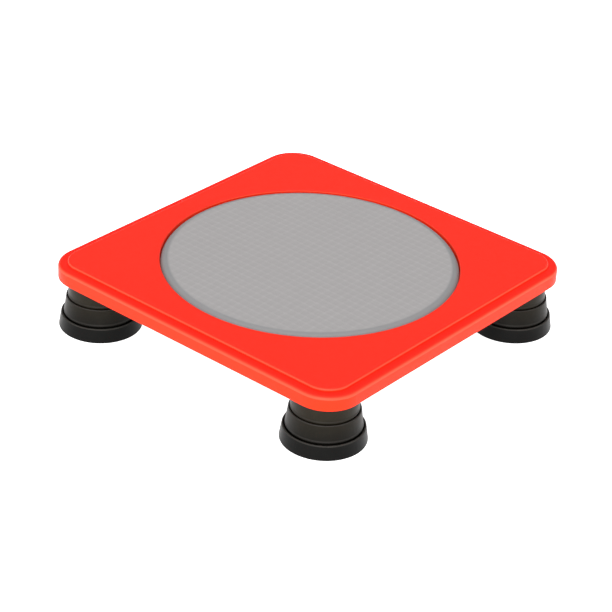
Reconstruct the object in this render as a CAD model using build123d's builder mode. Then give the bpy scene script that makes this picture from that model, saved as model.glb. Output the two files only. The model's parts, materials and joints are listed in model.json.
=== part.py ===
"""A balance pad: a square red board on four sprung telescoping feet, with a round soft pad let into its top.

Millimetres, +Z up. The origin is on the floor under the middle of the board, and -Y is the front.
Every foot slides shut under load: the base cup rises over the middle ring, and the middle ring rises over
the upper ring, which is fixed to the board.
"""
from build123d import *
import os
from math import sqrt

# ---- driving dimensions -------------------------------------------------------------------------------
# Board
deck_side = 500.0
deck_corner = 46.0
skirt_height = 20.1          # from the board's lower edge to its ledge
panel_inset = 12.9           # from the side wall to the foot of the raised panel
panel_rise = 4.2
panel_edge_radius = 3.1
ledge_edge_radius = 5.0
shell_wall = 3.0
recess_floor_thickness = 2.6
recess_radius = 200.5
recess_lip_radius = 1.0
cover_thickness = 3.0
cover_gap = 0.3
board_thickness = 9.0
board_gap = 4.0
rib_thickness = 2.2

# Pad
pad_radius = 198.0
pad_proud = 2.4              # how far the pad stands above the panel
pad_edge_width = 12.0        # the edge is a quarter of an ellipse, this wide and this deep
pad_edge_depth = 9.0
pad_skin_thickness = 2.5
pad_backing_thickness = 2.0
pad_layer_gap = 0.2
pad_screw_square = 200.0

# Feet: heights are from the floor, with the foot at its full length
foot_spacing = 393.5
base_rim_z = 20.0
middle_rim_z = 45.0
deck_bottom = 73.3
ring_gap = 1.3               # open height between a tier's lower edge and the rim under it
upper_top_radius = 43.3
upper_foot_radius = 43.0
middle_rim_radius = 45.8
middle_foot_radius = 48.7
base_rim_radius = 52.8
base_foot_radius = 56.0
rim_wall = 1.5               # thickness of a tier's wall at its rim
bead_proud = 0.7             # a tier's wall flares to a bead round its lower edge
bead_height = 1.4
bead_flare = 2.2
neck_step = 1.8              # from the bead in to the neck under it
neck_wall = 2.0
foot_travel = 15.0           # how far the base cup can rise
ring_travel = foot_travel / 2
travel_spare = 0.5

# Foot mechanism
flange_radius = 38.5
flange_thickness = 2.5
flange_screw_circle = 31.5
hub_radius = 15.5
hub_bottom_z = 50.0
bush_radius = 10.45
bush_step_z = 58.0
bolt_radius = 8.0
bolt_running_gap = 0.06
bolt_head_radius = 13.0
bolt_head_thickness = 3.0
thread_radius = 5.95
nut_across_flats = 19.0
nut_height = 10.0
headroom_radius = 16.0       # clear bore above each foot, for the rising bolt and nut
spring_wire = 6.0
spring_mean_radius = 22.0
spring_turns = 5.5
seat_wall_radius = 28.0      # outside of the low wall round the spring's seat
collar_radius = 38.4         # outside of the middle ring's collar
sole_radius = 54.2
sole_thickness = 4.0
sole_proud = 0.5

# Fixings
cover_screw_line = 228.0
cover_screw_pitch = 130.0
boss_radius = 7.0

# ---- derived levels and places --------------------------------------------------------------------------
ledge_z = deck_bottom + skirt_height
panel_z = ledge_z + panel_rise
pad_top_z = panel_z + pad_proud
cover_top_z = deck_bottom + cover_thickness
board_top_z = cover_top_z + board_thickness
recess_floor_z = board_top_z + recess_floor_thickness
ledge_under_z = ledge_z - shell_wall
panel_under_z = panel_z - shell_wall
panel_side = deck_side - 2 * panel_inset
inner_side = deck_side - 2 * shell_wall
panel_inner_side = panel_side - 2 * shell_wall
dish_radius = recess_radius + shell_wall
backing_top_z = recess_floor_z + pad_backing_thickness
flange_top_z = deck_bottom - shell_wall
spring_top_z = flange_top_z - flange_thickness
cup_floor_z = sole_thickness
spring_seat_z = cup_floor_z + 5.0
cup_gutter_z = cup_floor_z + 2.0
skirt_bottom_z = cup_gutter_z + ring_travel + travel_spare
upper_neck_bottom_z = middle_rim_z - 11.0
bush_top_z = bush_step_z + 1.6
washer_z = bush_top_z + 0.05
nut_z = washer_z + 1.6
bolt_tip_z = nut_z + nut_height + 1.7

foot_centre = foot_spacing / 2
corners = {
    "front_left": (-foot_centre, -foot_centre),
    "front_right": (foot_centre, -foot_centre),
    "rear_left": (-foot_centre, foot_centre),
    "rear_right": (foot_centre, foot_centre),
}
from_below = (Align.CENTER, Align.CENTER, Align.MIN)
from_above = (Align.CENTER, Align.CENTER, Align.MAX)
screw_stations = [-cover_screw_pitch, 0.0, cover_screw_pitch]
cover_screw_places = [(side * cover_screw_line, y) for side in (-1, 1) for y in screw_stations]
cover_screw_places += [(x, side * cover_screw_line) for side in (-1, 1) for x in screw_stations]


def at_height(places, z):
    """The plan places, lifted to height z."""
    return [(x, y, z) for x, y in places]


def flange_screw_places():
    """Four screws round each foot's centre, on the diagonals."""
    step = flange_screw_circle / sqrt(2)
    signs = [(-1, -1), (1, -1), (-1, 1), (1, 1)]
    return [(x + sx * step, y + sy * step) for x, y in corners.values() for sx, sy in signs]


def circles_at(part, radius, z):
    """The part's circular edges of this radius at this height."""
    rings = part.edges().filter_by(GeomType.CIRCLE)
    return rings.filter_by(lambda e: abs(e.radius - radius) < 0.01 and abs(e.center().Z - z) < 0.01)


def finish(part, name):
    """Labels the finished piece and writes it."""
    part.label = name
    export_step(part, f"parts/{name}.step")


os.makedirs("parts", exist_ok=True)

# Each rib goes from the dish to the skirt: its lower storey under the ledge, its upper one under the panel.
rib_stations = [-130.0, -65.0, 0.0, 65.0, 130.0]
rib_bite = 0.5
rib_storeys = [
    (board_top_z, ledge_under_z, inner_side),
    (ledge_under_z, panel_under_z, panel_inner_side),
]


def place_ribs(wall):
    """Draws the plan of the ribs out to a wall at this distance: five on each side, a cross at each foot."""
    for turn in (0, 90, 180, 270):
        for station in rib_stations:
            start = sqrt(dish_radius**2 - station**2) - rib_bite
            length = wall + rib_bite - start
            with Locations(Rotation(0, 0, turn) * Pos(start + length / 2, station)):
                Rectangle(length, rib_thickness)
    cross = 2 * (wall + rib_bite - foot_centre)
    with Locations(*corners.values()):
        Rectangle(cross, rib_thickness)
        Rectangle(rib_thickness, cross)


# ---- top shell -----------------------------------------------------------------------------------------
with BuildPart() as top_shell:
    with BuildSketch(Plane.XY.offset(deck_bottom)):
        RectangleRounded(deck_side, deck_side, deck_corner)
    extrude(amount=skirt_height)
    fillet(top_shell.edges().group_by(Axis.Z)[-1], ledge_edge_radius)
    with BuildSketch(Plane.XY.offset(ledge_z)):
        RectangleRounded(panel_side, panel_side, deck_corner - panel_inset)
    extrude(amount=panel_rise)
    fillet(top_shell.edges().group_by(Axis.Z)[-1], panel_edge_radius)
    # The hollow under the ledge, and the higher one under the panel
    with BuildSketch(Plane.XY.offset(deck_bottom)):
        RectangleRounded(inner_side, inner_side, deck_corner - shell_wall)
    extrude(amount=ledge_under_z - deck_bottom, mode=Mode.SUBTRACT)
    with BuildSketch(Plane.XY.offset(ledge_under_z)):
        RectangleRounded(panel_inner_side, panel_inner_side, deck_corner - panel_inset - shell_wall)
    extrude(amount=panel_under_z - ledge_under_z, mode=Mode.SUBTRACT)
    # The dish that holds the pad, standing on the load board
    with Locations((0, 0, board_top_z)):
        Cylinder(dish_radius, panel_z - board_top_z - shell_wall / 2, align=from_below)
    # Stiffening ribs between the dish and the skirt, low under the ledge and full height under the panel
    for low_z, high_z, wall_side in rib_storeys:
        with BuildSketch(Plane.XY.offset(low_z)):
            place_ribs(wall_side / 2)
        extrude(amount=high_z - low_z + rib_bite)
    # A tubular boss over each foot and a solid boss at each cover screw
    with Locations(*at_height(corners.values(), board_top_z)):
        Cylinder(headroom_radius + 3, panel_under_z - board_top_z + 0.5, align=from_below)
    with Locations(*at_height(cover_screw_places, board_top_z)):
        Cylinder(boss_radius, panel_under_z - board_top_z + 0.5, align=from_below)
    with Locations(*at_height(corners.values(), board_top_z)):
        Cylinder(headroom_radius, panel_under_z - board_top_z, align=from_below, mode=Mode.SUBTRACT)
    with Locations(*at_height(cover_screw_places, board_top_z)):
        Cylinder(2.85, 7.5, align=from_below, mode=Mode.SUBTRACT)
    # The round recess and its pad screw holes
    with Locations((0, 0, recess_floor_z)):
        Cylinder(recess_radius, panel_z - recess_floor_z, align=from_below, mode=Mode.SUBTRACT)
    with GridLocations(pad_screw_square, pad_screw_square, 2, 2):
        Cylinder(2.75, 3 * deck_side, mode=Mode.SUBTRACT)
    fillet(circles_at(top_shell.part, recess_radius, panel_z), recess_lip_radius)
finish(top_shell.part, "top_shell")

# ---- bottom cover --------------------------------------------------------------------------------------
cover_side = inner_side - 2 * cover_gap
with BuildPart() as bottom_cover:
    with BuildSketch(Plane.XY.offset(deck_bottom)):
        RectangleRounded(cover_side, cover_side, deck_corner - shell_wall - cover_gap)
        with Locations(*corners.values()):
            Circle(headroom_radius, mode=Mode.SUBTRACT)
        with Locations(*flange_screw_places()):
            Circle(3.2, mode=Mode.SUBTRACT)
        with Locations(*cover_screw_places):
            Circle(2.25, mode=Mode.SUBTRACT)
        # Two rows of vent slots
        with GridLocations(36, 150, 5, 2):
            SlotOverall(60, 6, rotation=90, mode=Mode.SUBTRACT)
    extrude(amount=cover_thickness)
    with Locations(*at_height(cover_screw_places, deck_bottom)):
        Cone(3.9, 2.25, 2.2, align=from_below, mode=Mode.SUBTRACT)
finish(bottom_cover.part, "bottom_cover")

# ---- load board ----------------------------------------------------------------------------------------
board_side = inner_side - 2 * board_gap
with BuildPart() as load_board:
    with BuildSketch(Plane.XY.offset(cover_top_z)):
        RectangleRounded(board_side, board_side, deck_corner - shell_wall - board_gap)
        with Locations(*corners.values()):
            Circle(headroom_radius, mode=Mode.SUBTRACT)
        with Locations(*flange_screw_places()):
            Circle(4.05, mode=Mode.SUBTRACT)
        with Locations(*cover_screw_places):
            Circle(2.5, mode=Mode.SUBTRACT)
        with GridLocations(pad_screw_square, pad_screw_square, 2, 2):
            Circle(2.75, mode=Mode.SUBTRACT)
    extrude(amount=board_thickness)
    with Locations(*at_height(flange_screw_places(), board_top_z)):
        Cylinder(9.1, 1.2, align=from_above, mode=Mode.SUBTRACT)
    with Locations((0, 0, cover_top_z)):
        with GridLocations(pad_screw_square, pad_screw_square, 2, 2):
            Cylinder(5.4, 4.0, align=from_below, mode=Mode.SUBTRACT)
finish(load_board.part, "load_board")

# ---- pad -----------------------------------------------------------------------------------------------
edge_centre_r = pad_radius - pad_edge_width
edge_centre_z = pad_top_z - pad_edge_depth


def quarter_edge(inset):
    """The quarter ellipse of the pad's edge, this far inside its outer face."""
    centre = (edge_centre_r, edge_centre_z)
    return EllipticalCenterArc(centre, pad_edge_width - inset, pad_edge_depth - inset, 0, arc_size=90)


with BuildPart() as pad_skin:
    with BuildSketch(Plane.XZ):
        with BuildLine():
            outer = quarter_edge(0)
            inner = quarter_edge(pad_skin_thickness)
            Polyline(outer @ 1, (0, pad_top_z), (0, pad_top_z - pad_skin_thickness), inner @ 1)
            Polyline(
                inner @ 0,
                (pad_radius - pad_skin_thickness, backing_top_z),
                (pad_radius, backing_top_z),
                outer @ 0,
            )
        make_face()
    revolve(axis=Axis.Z)
finish(pad_skin.part, "pad_skin")

core_inset = pad_skin_thickness + pad_layer_gap
pad_boss_top_z = backing_top_z + 4.0
with BuildPart() as pad_backing:
    with Locations((0, 0, recess_floor_z)):
        Cylinder(pad_radius, pad_backing_thickness, align=from_below)
        with GridLocations(pad_screw_square, pad_screw_square, 2, 2):
            Cylinder(boss_radius, pad_boss_top_z - recess_floor_z, align=from_below)
            Cylinder(2.5, pad_boss_top_z - recess_floor_z - 1, align=from_below, mode=Mode.SUBTRACT)
finish(pad_backing.part, "pad_backing")

with BuildPart() as pad_core:
    with BuildSketch(Plane.XZ):
        with BuildLine():
            rim = quarter_edge(core_inset)
            Polyline(
                rim @ 1,
                (0, pad_top_z - core_inset),
                (0, backing_top_z),
                (pad_radius - core_inset, backing_top_z),
                rim @ 0,
            )
        make_face()
    revolve(axis=Axis.Z)
    with Locations((0, 0, backing_top_z)):
        with GridLocations(pad_screw_square, pad_screw_square, 2, 2):
            Cylinder(boss_radius + 0.5, 4.2, align=from_below, mode=Mode.SUBTRACT)
finish(pad_core.part, "pad_core")

# ---- fixings, each kind a group of separate solids ---------------------------------------------------------
with BuildPart() as pad_screws:
    with Locations((0, 0, cover_top_z + 0.5)):
        with GridLocations(pad_screw_square, pad_screw_square, 2, 2):
            Cylinder(4.8, 3.0, align=from_below)
            Cylinder(2.45, 16.0, align=from_below)
    with BuildSketch(Plane.XY.offset(cover_top_z + 0.5)):
        with GridLocations(pad_screw_square, pad_screw_square, 2, 2):
            RegularPolygon(2.3, 6)
    extrude(amount=2.0, mode=Mode.SUBTRACT)
finish(pad_screws.part, "pad_screws")

with BuildPart() as cover_screws:
    with Locations(*at_height(cover_screw_places, deck_bottom)):
        Cone(3.8, 1.95, 2.1, align=from_below)
        Cylinder(1.95, 18.0, align=from_below)
    for angle in (0, 90):
        with BuildSketch(Plane.XY.offset(deck_bottom)):
            with Locations(*cover_screw_places):
                Rectangle(4.0, 0.9, rotation=angle)
        extrude(amount=1.2, mode=Mode.SUBTRACT)
finish(cover_screws.part, "cover_screws")

with BuildPart() as cover_inserts:
    with Locations(*at_height(cover_screw_places, board_top_z)):
        Cylinder(2.8, 7.0, align=from_below)
        Cylinder(2.0, 7.0, align=from_below, mode=Mode.SUBTRACT)
finish(cover_inserts.part, "cover_inserts")

with BuildPart() as flange_screws:
    with Locations(*at_height(flange_screw_places(), spring_top_z)):
        Cylinder(5.2, 3.4, align=from_above)
        Cylinder(2.95, board_top_z - spring_top_z - 1.0, align=from_below)
    with BuildSketch(Plane.XY.offset(spring_top_z - 3.4)):
        with Locations(*flange_screw_places()):
            RegularPolygon(2.3, 6)
    extrude(amount=2.2, mode=Mode.SUBTRACT)
    fillet(flange_screws.edges().filter_by(GeomType.CIRCLE).group_by(Axis.Z)[0], 0.9)
finish(flange_screws.part, "flange_screws")

with BuildPart() as flange_inserts:
    with Locations(*at_height(flange_screw_places(), board_top_z)):
        Cylinder(9.0, 1.2, align=from_above)
        Cylinder(4.0, 8.0, align=from_above)
        Cylinder(3.0, 9.0, align=from_above, mode=Mode.SUBTRACT)
finish(flange_inserts.part, "flange_inserts")


# ---- feet ------------------------------------------------------------------------------------------------
def foot_profile(corner):
    """The upright plane through a foot's axis: its x is the radius, and its y the height."""
    x, y = corners[corner]
    return Plane(origin=(x, y, 0), x_dir=(1, 0, 0), z_dir=(0, -1, 0))


def foot_axis(corner):
    x, y = corners[corner]
    return Axis((x, y, 0), (0, 0, 1))


def turned(corner, outline):
    """A ring turned about the foot's axis from a closed outline of (radius, height) points."""
    with BuildPart() as ring:
        with BuildSketch(foot_profile(corner)):
            with BuildLine():
                Polyline(*outline, close=True)
            make_face()
        revolve(axis=foot_axis(corner))
    return ring


def drill_flange_holes(corner, z, depth):
    """Cuts the foot's four screw holes upward from height z, in the part being built."""
    with Locations((*corners[corner], z)):
        with PolarLocations(flange_screw_circle, 4, start_angle=45):
            Cylinder(3.2, depth, align=from_below, mode=Mode.SUBTRACT)


def round_bead(ring, wall_radius, edge_z):
    """Softens the bead at a tier's lower edge: its flare, its crown and its underside."""
    bead_radius = wall_radius + bead_proud
    fillet(circles_at(ring.part, wall_radius, edge_z + bead_height + bead_flare), 3.0)
    fillet(circles_at(ring.part, bead_radius, edge_z + bead_height), 1.6)
    fillet(circles_at(ring.part, bead_radius, edge_z), 0.7)


def bead_outline(wall_radius, edge_z):
    """The bead's corners, from the wall above it down to the neck under it."""
    bead_radius = wall_radius + bead_proud
    return [
        (wall_radius, edge_z + bead_height + bead_flare),
        (bead_radius, edge_z + bead_height),
        (bead_radius, edge_z),
        (bead_radius - neck_step, edge_z),
    ]


def upper_ring(corner):
    """The fixed top tier: a cap screwed under the board, with a neck that the middle ring slides over."""
    edge_z = middle_rim_z + ring_gap
    neck = upper_foot_radius + bead_proud - neck_step
    bore = neck - neck_wall
    outline = [
        (headroom_radius, deck_bottom),
        (upper_top_radius, deck_bottom),
        *bead_outline(upper_foot_radius, edge_z),
        (neck, upper_neck_bottom_z),
        (bore, upper_neck_bottom_z),
        (bore, flange_top_z),
        (headroom_radius, flange_top_z),
    ]
    with BuildPart() as ring:
        add(turned(corner, outline).part)
        drill_flange_holes(corner, flange_top_z, shell_wall)
        round_bead(ring, upper_foot_radius, edge_z)
    return ring.part


def middle_ring(corner):
    """The middle tier: a tapered wall, a skirt in the base cup, and a web that holds the spring's middle."""
    edge_z = base_rim_z + ring_gap
    bore = middle_rim_radius - rim_wall
    skirt = middle_foot_radius + bead_proud - neck_step
    skirt_bore = skirt - neck_wall
    web_top_z = upper_neck_bottom_z - ring_travel - travel_spare
    web_bottom_z = web_top_z - 2.5
    collar_top_z = 40.0
    collar_bore = spring_mean_radius + spring_wire / 2 + 0.8
    outline = [
        (bore, middle_rim_z),
        (middle_rim_radius, middle_rim_z),
        *bead_outline(middle_foot_radius, edge_z),
        (skirt, skirt_bottom_z),
        (skirt_bore, skirt_bottom_z),
        (skirt_bore, web_bottom_z),
        (collar_radius - 2, web_bottom_z),
        (collar_radius - 2, collar_top_z - 2),
        (collar_bore, collar_top_z - 2),
        (collar_bore, collar_top_z),
        (collar_radius, collar_top_z),
        (collar_radius, web_top_z),
        (bore, web_top_z),
    ]
    with BuildPart() as ring:
        add(turned(corner, outline).part)
        fillet(circles_at(ring.part, middle_rim_radius, middle_rim_z), 1.2)
        round_bead(ring, middle_foot_radius, edge_z)
    return ring.part


def base_cup(corner):
    """The bottom tier: a tapered cup with a seat for the spring, the bolt's head under it and the sole."""
    hem_z = sole_proud
    opening = base_rim_radius - rim_wall - 0.3
    outline = [
        (bolt_radius + 0.05, cup_floor_z + bolt_head_thickness),
        (bolt_head_radius + 0.2, cup_floor_z + bolt_head_thickness),
        (bolt_head_radius + 0.2, cup_floor_z),
        (sole_radius + 0.2, cup_floor_z),
        (sole_radius + 0.2, hem_z),
        (base_foot_radius, hem_z),
        (base_rim_radius, base_rim_z),
        (opening, base_rim_z),
        (opening, cup_gutter_z),
        (seat_wall_radius, cup_gutter_z),
        (seat_wall_radius, spring_seat_z + 3),
        (seat_wall_radius - 2, spring_seat_z + 3),
        (seat_wall_radius - 2, spring_seat_z),
        (bolt_radius + 0.05, spring_seat_z),
    ]
    with BuildPart() as cup:
        add(turned(corner, outline).part)
        fillet(circles_at(cup.part, base_rim_radius, base_rim_z), 1.5)
        fillet(circles_at(cup.part, base_foot_radius, hem_z), 0.5)
    return cup.part


def sole(corner):
    """The rubber sole, with three ring grooves in its tread."""
    with BuildPart() as pad:
        with Locations(corners[corner]):
            Cylinder(sole_radius, sole_thickness, align=from_below)
            for groove in (41.5, 28.5, 15.5):
                Cylinder(groove + 1.5, 1.2, align=from_below, mode=Mode.SUBTRACT)
                Cylinder(groove - 1.5, 1.2, align=from_below)
        fillet(circles_at(pad.part, sole_radius, 0), 0.4)
    return pad.part


def mounting_flange(corner):
    """The steel flange that clamps the foot to the board, with the hub that holds the guide bush."""
    outline = [
        (12.5, flange_top_z),
        (flange_radius, flange_top_z),
        (flange_radius, spring_top_z),
        (hub_radius, spring_top_z),
        (hub_radius, hub_bottom_z),
        (bush_radius + 0.05, hub_bottom_z),
        (bush_radius + 0.05, bush_step_z),
        (12.5, bush_step_z),
    ]
    with BuildPart() as flange:
        add(turned(corner, outline).part)
        drill_flange_holes(corner, spring_top_z, flange_thickness)
    return flange.part


def guide_bush(corner):
    """A flanged bush in the hub, for the bolt to slide in."""
    bore = bolt_radius + bolt_running_gap
    outline = [
        (bore, hub_bottom_z),
        (bush_radius, hub_bottom_z),
        (bush_radius, bush_step_z),
        (12.2, bush_step_z),
        (12.2, bush_top_z),
        (bore, bush_top_z),
    ]
    return turned(corner, outline).part


def guide_bolt(corner):
    """The bolt that keeps the foot together: head under the base cup, plain shank, threaded tip."""
    shoulder_z = bush_top_z
    outline = [
        (0, cup_floor_z),
        (bolt_head_radius, cup_floor_z),
        (bolt_head_radius, cup_floor_z + bolt_head_thickness),
        (bolt_radius, cup_floor_z + bolt_head_thickness),
        (bolt_radius, shoulder_z),
        (thread_radius, shoulder_z),
        (thread_radius, bolt_tip_z - 1),
        (thread_radius - 1, bolt_tip_z),
        (0, bolt_tip_z),
    ]
    return turned(corner, outline).part


def washer(corner):
    """The washer between the lock nut and the bush."""
    outline = [(6.1, washer_z), (11.8, washer_z), (11.8, nut_z), (6.1, nut_z)]
    return turned(corner, outline).part


def lock_nut(corner):
    """The hexagonal lock nut that sets the foot's full length."""
    with BuildPart() as nut:
        with BuildSketch(Plane.XY.offset(nut_z)):
            with Locations(corners[corner]):
                RegularPolygon(nut_across_flats / 2, 6, major_radius=False)
                Circle(6.05, mode=Mode.SUBTRACT)
        extrude(amount=nut_height - 2)
        with BuildSketch(Plane.XY.offset(nut_z + nut_height - 2)):
            with Locations(corners[corner]):
                Circle(nut_across_flats / 2 - 0.7)
                Circle(6.05, mode=Mode.SUBTRACT)
        extrude(amount=2)
    return nut.part


def bump_stop(corner):
    """The rubber sleeve that the hub meets at the end of the foot's travel."""
    top_z = hub_bottom_z - foot_travel - travel_spare
    outline = [(8.4, spring_seat_z), (13.5, spring_seat_z), (13.5, top_z), (8.4, top_z)]
    return turned(corner, outline).part


def spring(corner):
    """The compression spring between the cup's seat and the flange."""
    low = spring_seat_z + spring_wire / 2
    rise = spring_top_z - spring_seat_z - spring_wire
    x, y = corners[corner]
    with BuildPart() as coil:
        with BuildLine() as path:
            Helix(rise / spring_turns, rise, spring_mean_radius, center=(x, y, low))
        with BuildSketch(Plane(origin=path.line @ 0, z_dir=path.line % 0)):
            Circle(spring_wire / 2)
        sweep(is_frenet=True)
    return coil.part


foot_pieces = {
    "upper_ring": upper_ring,
    "middle_ring": middle_ring,
    "base_cup": base_cup,
    "sole": sole,
    "mounting_flange": mounting_flange,
    "guide_bush": guide_bush,
    "guide_bolt": guide_bolt,
    "washer": washer,
    "lock_nut": lock_nut,
    "bump_stop": bump_stop,
    "spring": spring,
}
for corner in corners:
    for piece, make in foot_pieces.items():
        finish(make(corner), f"{corner}_{piece}")
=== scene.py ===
"""The looks of the balance pad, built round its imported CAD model. Metres, +Z up, the origin on the floor."""
import json
from math import cos, pi, radians, sin

import bpy
import numpy as np
from mathutils import Matrix, Vector


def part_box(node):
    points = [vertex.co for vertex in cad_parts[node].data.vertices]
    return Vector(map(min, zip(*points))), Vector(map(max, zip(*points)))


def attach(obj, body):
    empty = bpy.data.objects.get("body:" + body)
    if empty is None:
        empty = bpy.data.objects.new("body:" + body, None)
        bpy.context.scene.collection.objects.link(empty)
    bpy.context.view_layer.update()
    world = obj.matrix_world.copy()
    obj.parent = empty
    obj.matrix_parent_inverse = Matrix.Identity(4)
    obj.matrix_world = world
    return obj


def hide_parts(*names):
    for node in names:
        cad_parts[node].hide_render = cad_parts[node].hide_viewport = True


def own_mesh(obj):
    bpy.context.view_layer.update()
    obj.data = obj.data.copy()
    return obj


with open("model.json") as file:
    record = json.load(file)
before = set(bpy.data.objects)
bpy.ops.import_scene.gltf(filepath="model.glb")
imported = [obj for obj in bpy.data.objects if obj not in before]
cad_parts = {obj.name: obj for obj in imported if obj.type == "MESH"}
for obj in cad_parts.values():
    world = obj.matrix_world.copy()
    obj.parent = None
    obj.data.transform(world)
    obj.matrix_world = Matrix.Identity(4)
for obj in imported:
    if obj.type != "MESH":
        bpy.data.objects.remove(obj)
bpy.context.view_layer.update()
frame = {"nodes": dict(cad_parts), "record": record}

nodes = frame["nodes"]
MM = 0.001
CORNERS = ("front_left", "front_right", "rear_left", "rear_right")
LEDGE_TOP = 93.4 * MM                        # height of the ledge round the raised panel


# ---- materials ----------------------------------------------------------------------------------------
REMAP_SOCKETS = ("From Min", "From Max", "To Min", "To Max")


def linear(r, g, b):
    """A display colour of 0 to 255 as the linear colour that shaders take."""
    def channel(c):
        c /= 255
        return c / 12.92 if c <= 0.04045 else ((c + 0.055) / 1.055) ** 2.4
    return (channel(r), channel(g), channel(b), 1.0)


def dimmed(colour, share):
    """The colour at this share of its brightness."""
    return (*(c * share for c in colour[:3]), 1.0)


class Recipe:
    """A material being mixed: a Principled shader, with helpers for the textures that feed it."""

    def __init__(self, name, roughness, metallic=0.0, specular=0.5):
        self.material = bpy.data.materials.new(name)
        self.material.use_nodes = True
        self.tree = self.material.node_tree
        self.shader = self.tree.nodes["Principled BSDF"]
        self.shader.inputs["Roughness"].default_value = roughness
        self.shader.inputs["Metallic"].default_value = metallic
        self.shader.inputs["Specular IOR Level"].default_value = specular
        coordinates = self.tree.nodes.new("ShaderNodeTexCoord")
        self.place = coordinates.outputs["Object"]
        self.facing = coordinates.outputs["Normal"]

    def new(self, kind, **settings):
        """A new node of this kind."""
        node = self.tree.nodes.new(kind)
        for key, value in settings.items():
            setattr(node, key, value)
        return node

    def join(self, output, socket):
        """Feeds the output into the socket."""
        self.tree.links.new(output, socket)

    def height_of(self, vector):
        """The Z of a vector."""
        axes = self.new("ShaderNodeSeparateXYZ")
        self.join(vector, axes.inputs[0])
        return axes.outputs["Z"]

    def stretched(self, x, y, z):
        """Object coordinates scaled along each axis, for grain that runs one way."""
        mapping = self.new("ShaderNodeMapping")
        mapping.inputs["Scale"].default_value = (x, y, z)
        self.join(self.place, mapping.inputs["Vector"])
        return mapping.outputs["Vector"]

    def noise(self, scale, detail=2.0, roughness=0.5, along=None, distortion=0.0):
        """Noise from 0 to 1, with scale in waves per metre."""
        noise = self.new("ShaderNodeTexNoise")
        noise.inputs["Scale"].default_value = scale
        noise.inputs["Detail"].default_value = detail
        noise.inputs["Roughness"].default_value = roughness
        noise.inputs["Distortion"].default_value = distortion
        self.join(along or self.place, noise.inputs["Vector"])
        return noise.outputs["Fac"]

    def cells(self, scale):
        """Distance to the nearest point of a scatter, with scale in cells per metre."""
        voronoi = self.new("ShaderNodeTexVoronoi", feature="F1")
        voronoi.inputs["Scale"].default_value = scale
        self.join(self.place, voronoi.inputs["Vector"])
        return voronoi.outputs["Distance"]

    def spread(self, value, low, high, to_low, to_high):
        """The value remapped from low..high to to_low..to_high, and held at the ends."""
        remap = self.new("ShaderNodeMapRange")
        for socket, number in zip(REMAP_SOCKETS, (low, high, to_low, to_high)):
            remap.inputs[socket].default_value = number
        self.join(value, remap.inputs["Value"])
        return remap.outputs["Result"]

    def clouds(self, scale, detail, roughness=0.5, distortion=0.0):
        """Soft patches from 0 to 1: the middle of a noise, stretched."""
        return self.spread(self.noise(scale, detail, roughness, distortion=distortion), 0.3, 0.7, 0, 1)

    def grain(self, scale, roughness, cell_scale, cell_share):
        """The height of a fine moulded grain: noise, with a share of small cells over it."""
        pits = self.combine("MULTIPLY", self.cells(cell_scale), cell_share)
        return self.combine("ADD", self.noise(scale, 3, roughness), pits)

    def blend(self, share, first, second):
        """A colour between first and second, each a colour or an output, by the share."""
        mix = self.new("ShaderNodeMix", data_type="RGBA")
        self.join(share, mix.inputs[0])
        for socket, colour in ((mix.inputs[6], first), (mix.inputs[7], second)):
            if isinstance(colour, tuple):
                socket.default_value = colour
            else:
                self.join(colour, socket)
        return mix.outputs[2]

    def combine(self, operation, first, second=0.0):
        """A calculation on numbers or outputs, by its name on the Math node."""
        maths = self.new("ShaderNodeMath", operation=operation)
        for socket, value in zip(maths.inputs, (first, second)):
            if isinstance(value, (int, float)):
                socket.default_value = value
            else:
                self.join(value, socket)
        return maths.outputs[0]

    def colour(self, output):
        """The shader's colour."""
        self.join(output, self.shader.inputs["Base Color"])

    def roughness(self, value, low, high):
        """Roughness from low to high over the middle of a noise."""
        self.join(self.spread(value, 0.3, 0.7, low, high), self.shader.inputs["Roughness"])

    def bump(self, height, depth):
        """Relief this many metres deep where the height goes from 0 to 1."""
        bump = self.new("ShaderNodeBump")
        bump.inputs["Distance"].default_value = depth
        self.join(height, bump.inputs["Height"])
        self.join(bump.outputs["Normal"], self.shader.inputs["Normal"])

    def set(self, **values):
        """Constant values on the shader's own sockets."""
        for key, value in values.items():
            self.shader.inputs[key.replace("_", " ")].default_value = value


def red_plastic():
    """Moulded satin red: fine spark texture and faint flow mottling, with a painted highlight on its rounded
    edges.

    The ledge round the panel, below LEDGE_TOP, carries painted shade. The upright walls are painted warmer and
    a little brighter, standing in for the light that falls on them.
    """
    m = Recipe("red_moulded_plastic", 0.4, specular=0.1)
    red = linear(255, 49, 32)
    tone = m.blend(m.clouds(9, 3, 0.55, distortion=0.6), dimmed(red, 0.965), red)
    speck = m.spread(m.noise(2600, 2), 0.62, 0.8, 0, 0.35)
    tone = m.blend(speck, tone, dimmed(red, 0.86))
    tilt = m.height_of(m.facing)
    flat = m.spread(tilt, 0.9, 0.97, 0, 1)
    # Painted shade: flat faces below LEDGE_TOP, the ledge at the panel's foot, are a deeper red.
    low = m.spread(m.height_of(m.place), LEDGE_TOP, LEDGE_TOP + 1.5 * MM, 1, 0)
    tone = m.blend(m.combine("MULTIPLY", flat, low), tone, linear(255, 39, 24))
    # Painted light: upright walls are warmer and a little brighter, as if strongly lit from the front.
    tone = m.blend(m.spread(tilt, 0.05, 0.3, 1, 0), tone, linear(255, 53, 22))
    # Painted highlight: faces between upright and flat, the rounded edges, are paler.
    highlight_and_wear = m.combine("MULTIPLY", m.spread(tilt, 0.02, 0.2, 0, 1), m.spread(tilt, 0.55, 0.85, 1, 0))
    m.colour(m.blend(highlight_and_wear, tone, linear(255, 84, 60)))
    m.roughness(m.noise(70, 5, 0.62, distortion=1.2), 0.36, 0.45)
    m.bump(m.grain(1900, 0.6, 1250, 0.35), 0.035 * MM)
    return m.material


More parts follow.
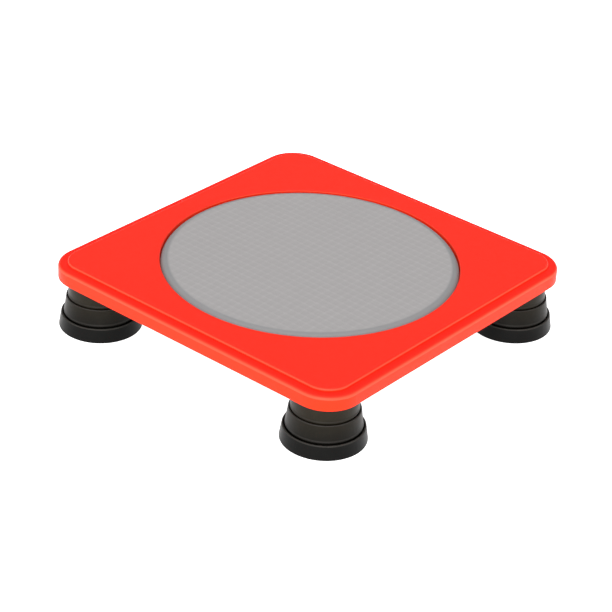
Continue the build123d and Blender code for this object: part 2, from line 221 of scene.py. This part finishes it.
def foot_plastic():
    """Warm black moulded plastic, satin, with a fine leathery grain, and painted shade darkening it towards
    the floor.

    The rims and beads of the tiers, which face partly upwards, carry a painted highlight.
    """
    m = Recipe("black_foot_plastic", 0.3, specular=0.1)
    # Painted shade: darker towards the floor, lighter towards the board.
    height = m.spread(m.height_of(m.place), 15 * MM, 70 * MM, 0, 1)
    # Random rubbed patches: real wear mottle.
    highlight_and_wear = m.spread(m.noise(38, 6, 0.65, distortion=0.8), 0.45, 0.75, 0, 1)
    low = m.blend(highlight_and_wear, linear(6, 6, 5), linear(11, 11, 9))
    high = m.blend(highlight_and_wear, linear(39, 34, 24), linear(44, 39, 28))
    # Painted highlight on faces tilted partly upwards: the rims and beads of the tiers.
    highlit_edges = m.spread(m.height_of(m.facing), 0.2, 0.5, 0, 1)
    m.colour(m.blend(highlit_edges, m.blend(height, low, high), linear(58, 56, 53)))
    m.roughness(m.noise(60, 4, 0.6), 0.33, 0.41)
    m.bump(m.grain(2300, 0.6, 1500, 0.4), 0.03 * MM)
    return m.material


def cover_plastic():
    """Matt black cover with a coarse spark-eroded texture."""
    m = Recipe("black_cover_plastic", 0.55, specular=0.4)
    tone = m.clouds(24, 4, 0.6, distortion=0.5)
    m.colour(m.blend(tone, linear(34, 34, 34), linear(43, 43, 42)))
    m.roughness(m.noise(90, 4), 0.5, 0.62)
    m.bump(m.noise(1500, 4, 0.7), 0.07 * MM)
    return m.material


def pad_rubber():
    """The grey skin of the pad: matt, slightly grippy, with painted shade in the dimples between the ribs and
    on its rim.
    """
    m = Recipe("grey_pad_skin", 0.62, specular=0.35)
    grey = linear(173, 170, 170)
    rim_painted_shade = linear(140, 140, 141)
    base = m.blend(m.clouds(30, 5, 0.62, distortion=0.7), dimmed(grey, 0.955), grey)
    height = m.new("ShaderNodeAttribute", attribute_name="rib").outputs["Fac"]
    # Painted shade: the dimples between the ribs are darker than the ribs and nodes.
    ribbed = m.blend(m.spread(height, 0.15, 1.0, 0, 1), dimmed(grey, 0.89), base)
    dust = m.spread(m.noise(1700, 3, 0.6), 0.58, 0.8, 0, 0.4)
    top = m.blend(dust, ribbed, dimmed(grey, 0.9))
    # Painted shade on the rounded rim of the pad.
    rim = m.new("ShaderNodeAttribute", attribute_name="rim").outputs["Fac"]
    m.colour(m.blend(rim, top, rim_painted_shade))
    m.roughness(m.noise(120, 4, 0.6), 0.56, 0.68)
    m.bump(m.grain(2100, 0.65, 1400, 0.5), 0.05 * MM)
    m.set(Sheen_Weight=0.08, Sheen_Roughness=0.5)
    return m.material


def foam():
    """Closed-cell foam, with its cut cells showing."""
    m = Recipe("pad_foam", 0.9, specular=0.2)
    cells = m.cells(900)
    m.colour(m.blend(m.spread(cells, 0.1, 0.6, 0, 1), linear(52, 53, 56), linear(84, 85, 88)))
    m.bump(cells, 0.25 * MM)
    return m.material


def backing_plastic():
    """Plain grey sheet, slightly mottled."""
    m = Recipe("grey_backing_plastic", 0.5, specular=0.4)
    m.colour(m.blend(m.clouds(40, 3), linear(118, 118, 119), linear(132, 132, 132)))
    m.bump(m.noise(1600, 3), 0.04 * MM)
    return m.material


def bush_plastic():
    """Natural acetal, slightly translucent, with faint turning marks."""
    m = Recipe("natural_acetal", 0.35, specular=0.5)
    m.colour(m.blend(m.clouds(120, 3), linear(222, 219, 208), linear(232, 229, 219)))
    m.bump(m.noise(500, 2, along=m.stretched(1, 1, 14)), 0.02 * MM)
    m.set(Subsurface_Weight=0.1, Subsurface_Scale=0.002)
    return m.material


def rubber():
    """Black rubber with a dusty bloom and a few paler scuffs."""
    m = Recipe("black_rubber", 0.72, specular=0.35)
    bloom = m.spread(m.noise(55, 6, 0.66, distortion=0.9), 0.42, 0.78, 0, 1)
    m.colour(m.blend(bloom, linear(24, 24, 24), linear(48, 48, 47)))
    m.roughness(m.noise(140, 4), 0.62, 0.82)
    m.bump(m.noise(1300, 4, 0.7), 0.08 * MM)
    return m.material


VENEER_PAIR = 2 * MM                         # one light and one dark veneer


def birch_plywood():
    """Birch ply: long pale grain on the faces, and nine veneers, light and dark in turn, on the edges."""
    m = Recipe("birch_plywood", 0.6, specular=0.3)
    grain = m.noise(60, 6, 0.62, along=m.stretched(0.12, 1.6, 1), distortion=1.4)
    face = m.blend(m.spread(grain, 0.3, 0.7, 0, 1), linear(196, 160, 114), linear(222, 192, 150))
    veneer = m.combine("FRACT", m.combine("DIVIDE", m.height_of(m.place), VENEER_PAIR))
    layer = m.spread(veneer, 0.46, 0.54, 0, 1)
    edge = m.blend(layer, linear(150, 108, 66), linear(210, 176, 130))
    flatness = m.spread(m.combine("ABSOLUTE", m.height_of(m.facing)), 0.4, 0.6, 0, 1)
    m.colour(m.blend(flatness, edge, face))
    m.bump(m.noise(500, 4, 0.6, along=m.stretched(0.1, 1, 1)), 0.06 * MM)
    return m.material


def metal(name, colour, low, high, grain=(1, 1, 12), patch=0.9):
    """A metal with fine lines along the grain, and cloudy patches of tarnish or plating."""
    m = Recipe(name, (low + high) / 2, metallic=1.0)
    m.colour(m.blend(m.clouds(85, 5, 0.6, distortion=0.5), dimmed(colour, patch), colour))
    lines = m.noise(900, 3, 0.6, along=m.stretched(*grain))
    m.roughness(lines, low, high)
    m.bump(lines, 0.012 * MM)
    return m.material


MATERIALS = {
    "red_plastic": red_plastic(),
    "black_cover_plastic": cover_plastic(),
    "birch_plywood": birch_plywood(),
    "grey_pad_skin": pad_rubber(),
    "pad_foam": foam(),
    "grey_backing_plastic": backing_plastic(),
    "zinc_steel": metal("zinc_plated_steel", (0.62, 0.62, 0.60, 1), 0.28, 0.45, (1, 1, 1), 0.8),
    "brass": metal("turned_brass", (0.78, 0.56, 0.26, 1), 0.2, 0.34),
    "black_foot_plastic": foot_plastic(),
    "black_rubber": rubber(),
    "bush_plastic": bush_plastic(),
    "steel": metal("ground_steel", (0.58, 0.58, 0.58, 1), 0.16, 0.3),
    "spring_steel": metal("spring_steel", (0.25, 0.25, 0.265, 1), 0.24, 0.4, (4, 4, 4), 0.75),
}


# ---- the CAD nodes keep their shapes and get their materials ------------------------------------------
SMOOTH_BELOW = radians(32)
for entry in frame["record"]["subparts"]:
    node = nodes[entry["node"]]
    node.data.materials.clear()
    node.data.materials.append(MATERIALS[entry["material_slot"]])
    node.data.shade_smooth()
    node.data.set_sharp_from_angle(angle=SMOOTH_BELOW)


def new_mesh(name, points, faces, material):
    """A smooth-shaded object made from points and faces."""
    mesh = bpy.data.meshes.new(name)
    mesh.from_pydata([tuple(p) for p in points], [], faces)
    mesh.validate()
    mesh.shade_smooth()
    mesh.materials.append(material)
    piece = bpy.data.objects.new(name, mesh)
    bpy.context.scene.collection.objects.link(piece)
    return piece


# ---- the pad's skin -----------------------------------------------------------------------------------
# A square grid laid over the disc and down its rounded edge, raised into ribs along X and Y with a node at
# each crossing. The inside is a plain shell over the foam.
RIB_PITCH = 11.9 * MM
RIB_HALF_WIDTH = 4.03 * MM
RIB_HEIGHT = 0.17 * MM
NODE_HEIGHT = 0.23 * MM
RIBS_FADE = (188 * MM, 195 * MM)             # radii between which the relief dies out
RIM_STARTS = (188 * MM, 191 * MM)            # where the ribbed top gives way to the smooth rim, which carries painted shade
EDGE_WIDTH, EDGE_DEPTH = 12 * MM, 9 * MM
RIM_BULGE = 1.7 * MM                         # how far the soft rim swells into the gap round the pad
CROWN = 1.2 * MM                             # how much higher the top is in its middle than at its edge
SKIN_THICKNESS = 1.3 * MM
PROFILE_POINTS = 40                          # points over the rounded edge
INSIDE_SKIPS = 3                             # the inside takes every third of them
GRID = 360                                   # squares along the side of the grid
PAD_CREASE = radians(60)


def pad_profile(radius, top, bottom, inset):
    """Points (r, z) from the middle of the top, over the elliptical edge and down to the bottom."""
    turn = np.linspace(0, pi / 2, PROFILE_POINTS)
    r = radius - EDGE_WIDTH + (EDGE_WIDTH - inset) * np.sin(turn)
    z = top - EDGE_DEPTH + (EDGE_DEPTH - inset) * np.cos(turn)
    return np.concatenate([[0], r, [r[-1]]]), np.concatenate([[z[0]], z, [bottom]])


def rib_height(x, y):
    """Height of the waffle over its dimples, from 0 to 1 on the ribs, and the same for the nodes."""
    def rib(along):
        off = np.abs((along / RIB_PITCH + 0.5) % 1 - 0.5) * RIB_PITCH
        return 0.5 + 0.5 * np.cos(pi * np.minimum(off / RIB_HALF_WIDTH, 1))
    across, along = rib(x), rib(y)
    return np.maximum(across, along), across * along


def build_pad_skin():
    """The pad's cap: the relief on top, the smooth rim, and the inside over the foam."""
    low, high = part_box("pad_skin")
    radius, top, bottom = high[0] + RIM_BULGE, high[2] - CROWN, low[2]
    r, z = pad_profile(radius, top, bottom, 0)
    run = np.concatenate([[0], np.cumsum(np.hypot(np.diff(r), np.diff(z)))])
    side = np.linspace(-1, 1, GRID + 1)
    u, v = (axis.ravel() for axis in np.meshgrid(side, side))
    x, y = u * np.sqrt(1 - v * v / 2), v * np.sqrt(1 - u * u / 2)
    reach = np.maximum(np.hypot(x, y), 1e-9)
    heading = np.stack([x / reach, y / reach], axis=1)
    along = np.minimum(reach, 1) * run[-1]
    flat_r, flat_z = np.interp(along, run, r), np.interp(along, run, z)
    place = heading * flat_r[:, None]
    ribs, knots = rib_height(place[:, 0], place[:, 1])
    fade = np.clip((RIBS_FADE[1] - flat_r) / (RIBS_FADE[1] - RIBS_FADE[0]), 0, 1)
    relief = fade * (RIB_HEIGHT * (ribs - 1) + NODE_HEIGHT * (knots - 1))
    crown = CROWN * (1 - np.minimum(flat_r / (radius - EDGE_WIDTH), 1) ** 2)
    points = np.column_stack([place, flat_z + crown + relief])
    row = GRID + 1
    faces = [
        (i * row + j, i * row + j + 1, (i + 1) * row + j + 1, (i + 1) * row + j)
        for i in range(GRID)
        for j in range(GRID)
    ]
    # The border of the grid, in order round the disc, goes on into the inside of the shell.
    border = [j for j in range(GRID)] + [i * row + GRID for i in range(GRID)]
    border += [GRID * row + GRID - j for j in range(GRID)] + [(GRID - i) * row for i in range(GRID)]
    inner_r, inner_z = pad_profile(radius, top, bottom, SKIN_THICKNESS)
    shells = [border]
    for ring_r, ring_z in zip(inner_r[:0:-INSIDE_SKIPS], inner_z[:0:-INSIDE_SKIPS]):
        start = len(points)
        ring = np.column_stack([heading[border] * ring_r, np.full(len(border), ring_z)])
        points = np.concatenate([points, ring])
        shells.append(list(range(start, start + len(border))))
    for outer, inner in zip(shells, shells[1:]):
        for k in range(len(border)):
            n = (k + 1) % len(border)
            faces.append((outer[n], outer[k], inner[k], inner[n]))
    faces.append(tuple(shells[-1][::-1]))
    skin = new_mesh("pad_skin_waffle", points, faces, MATERIALS["grey_pad_skin"])
    # The rib attribute: where the dimples get their painted shade.
    rib = np.zeros(len(points), np.float32)
    rib[: len(ribs)] = fade * 0.5 * (ribs + knots) + (1 - fade)
    skin.data.attributes.new("rib", "FLOAT", "POINT").data.foreach_set("value", rib)
    # The rim attribute: where the rim's painted shade lies.
    rim = np.ones(len(points), np.float32)
    rim[: len(ribs)] = np.interp(flat_r, RIM_STARTS, (0, 1))
    skin.data.attributes.new("rim", "FLOAT", "POINT").data.foreach_set("value", rim)
    skin.data.set_sharp_from_angle(angle=PAD_CREASE)
    return skin


pad_skin = build_pad_skin()
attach(pad_skin, "deck")
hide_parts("pad_skin")

# ---- the springs --------------------------------------------------------------------------------------
# Each has closed, ground ends: the coils lie together at both ends, where they are cut flat.
WIRE = 6 * MM
TURNS = 6.0
CLOSED_TURNS = 0.8                           # at each end
CLOSED_PITCH = 0.62 * WIRE                   # less than a wire a turn, because the ends are ground flat
EASING_TURNS = 0.35                          # from the closed pitch to the free one
STEPS_A_TURN = 48
WIRE_SIDES = 20
WIRE_CREASE = radians(50)


def build_spring(corner):
    """One foot's spring, attached to the deck."""
    low, high = (np.array(c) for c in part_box(f"{corner}_spring"))
    centre = (low + high) / 2
    coil = (high[0] - low[0]) / 2 - WIRE / 2
    bottom, top = low[2], high[2]
    steps = int(TURNS * STEPS_A_TURN)
    turn = np.linspace(0, TURNS, steps + 1)
    # The free coils share the height that the closed ends leave.
    free_turns = TURNS - 2 * CLOSED_TURNS
    free_pitch = (top - bottom - 2 * CLOSED_TURNS * CLOSED_PITCH) / free_turns
    opening = np.clip((turn - CLOSED_TURNS) / EASING_TURNS, 0, 1)
    closing = np.clip((TURNS - CLOSED_TURNS - turn) / EASING_TURNS, 0, 1)
    pitch = CLOSED_PITCH + (free_pitch - CLOSED_PITCH) * opening * closing
    climb = np.concatenate([[0], np.cumsum((pitch[1:] + pitch[:-1]) / 2)])
    height = bottom + climb / climb[-1] * (top - bottom)
    angle = 2 * pi * turn
    radial = np.stack([np.cos(angle), np.sin(angle), np.zeros_like(angle)], axis=1)
    middle = centre * (1, 1, 0) + radial * coil + np.outer(height, (0, 0, 1))
    points = []
    for side in np.linspace(0, 2 * pi, WIRE_SIDES, endpoint=False):
        points.append(middle + WIRE / 2 * (cos(side) * radial + sin(side) * np.array([0, 0, 1])))
    points = np.stack(points, axis=1).reshape(-1, 3)
    points[:, 2] = np.clip(points[:, 2], bottom, top)
    faces = []
    for i in range(steps):
        for k in range(WIRE_SIDES):
            a, b = i * WIRE_SIDES + k, i * WIRE_SIDES + (k + 1) % WIRE_SIDES
            faces.append((b, a, a + WIRE_SIDES, b + WIRE_SIDES))
    faces.append(tuple(range(WIRE_SIDES)))
    faces.append(tuple(steps * WIRE_SIDES + k for k in range(WIRE_SIDES))[::-1])
    spring = new_mesh(f"{corner}_coil", points, faces, MATERIALS["spring_steel"])
    spring.data.set_sharp_from_angle(angle=WIRE_CREASE)
    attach(spring, "deck")
    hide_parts(f"{corner}_spring")
    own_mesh(spring)


for corner in CORNERS:
    build_spring(corner)

# ---- studio -------------------------------------------------------------------------------------------
FLOOR_HALF = 6.0
FLOOR_GLOW = 1.1
AIR_GLOW, HORIZON_GLOW = 0.22, 1.0
HORIZON_BAND = (sin(radians(8)), sin(radians(14)))      # heights over which the horizon fades into the air
scene = bpy.context.scene
scene.view_settings.view_transform = "Standard"


def build_floor():
    """A pale light table, far larger than the view, which also lights the walls from below."""
    m = Recipe("studio_floor", 0.85, specular=0.1)
    m.colour(m.blend(m.clouds(1.5, 2), (0.74, 0.74, 0.74, 1), (0.77, 0.77, 0.77, 1)))
    m.set(Emission_Color=(1, 1, 1, 1), Emission_Strength=FLOOR_GLOW)
    corners = [(x * FLOOR_HALF, y * FLOOR_HALF, 0) for x, y in ((-1, -1), (1, -1), (1, 1), (-1, 1))]
    return new_mesh("studio_floor", corners, [(0, 1, 2, 3)], m.material)


build_floor()


def towards(azimuth, elevation):
    """The direction with this azimuth, from the front (-Y) round to the right (+X), and this elevation."""
    return Vector((sin(azimuth) * cos(elevation), -cos(azimuth) * cos(elevation), sin(elevation)))


def add_light(name, azimuth, elevation, spread, strength):
    """A far, wide light from this direction."""
    data = bpy.data.lights.new(name, "SUN")
    data.angle = spread
    data.energy = strength
    light = bpy.data.objects.new(name, data)
    light.rotation_euler = towards(azimuth, elevation).to_track_quat("Z", "Y").to_euler()
    scene.collection.objects.link(light)


add_light("overhead", 0, radians(90), radians(90), 1.45)
add_light("front_key", radians(32), radians(30), radians(50), 2.2)


def build_air():
    """Dim even light from all round, with a white horizon."""
    world = bpy.data.worlds.new("studio_air")
    world.use_nodes = True
    tree = world.node_tree
    background = tree.nodes["Background"]
    background.inputs["Color"].default_value = (1, 1, 1, 1)
    direction = tree.nodes.new("ShaderNodeTexCoord")
    axes = tree.nodes.new("ShaderNodeSeparateXYZ")
    fade = tree.nodes.new("ShaderNodeMapRange")
    for socket, number in zip(REMAP_SOCKETS, (*HORIZON_BAND, HORIZON_GLOW, AIR_GLOW)):
        fade.inputs[socket].default_value = number
    tree.links.new(direction.outputs["Generated"], axes.inputs[0])
    tree.links.new(axes.outputs["Z"], fade.inputs["Value"])
    tree.links.new(fade.outputs["Result"], background.inputs["Strength"])
    scene.world = world


build_air()

# ---- camera -------------------------------------------------------------------------------------------
CAMERA_AZIMUTH = radians(39.316)
CAMERA_ELEVATION = radians(30.111)
CAMERA_ROLL = radians(2.96)
CAMERA_DISTANCE = 2.94479
AIM_RIGHT, AIM_UP = -0.005365, -0.05812      # where the view's axis passes the middle of the ledge plane
LENS, SENSOR_WIDTH = 129.77, 36              # millimetres
CLIP_END = 50

back = towards(CAMERA_AZIMUTH, CAMERA_ELEVATION)
level_right = (-back).cross(Vector((0, 0, 1))).normalized()
level_up = level_right.cross(-back)
right = level_right * cos(CAMERA_ROLL) + level_up * sin(CAMERA_ROLL)
up = level_up * cos(CAMERA_ROLL) - level_right * sin(CAMERA_ROLL)
place = Vector((0, 0, LEDGE_TOP)) + back * CAMERA_DISTANCE + right * AIM_RIGHT + up * AIM_UP
camera_data = bpy.data.cameras.new("camera")
camera_data.lens = LENS
camera_data.sensor_width = SENSOR_WIDTH
camera_data.clip_end = CLIP_END
camera = bpy.data.objects.new("camera", camera_data)
camera.matrix_world = Matrix.Translation(place) @ Matrix((right, up, back)).transposed().to_4x4()
scene.collection.objects.link(camera)
scene.camera = camera
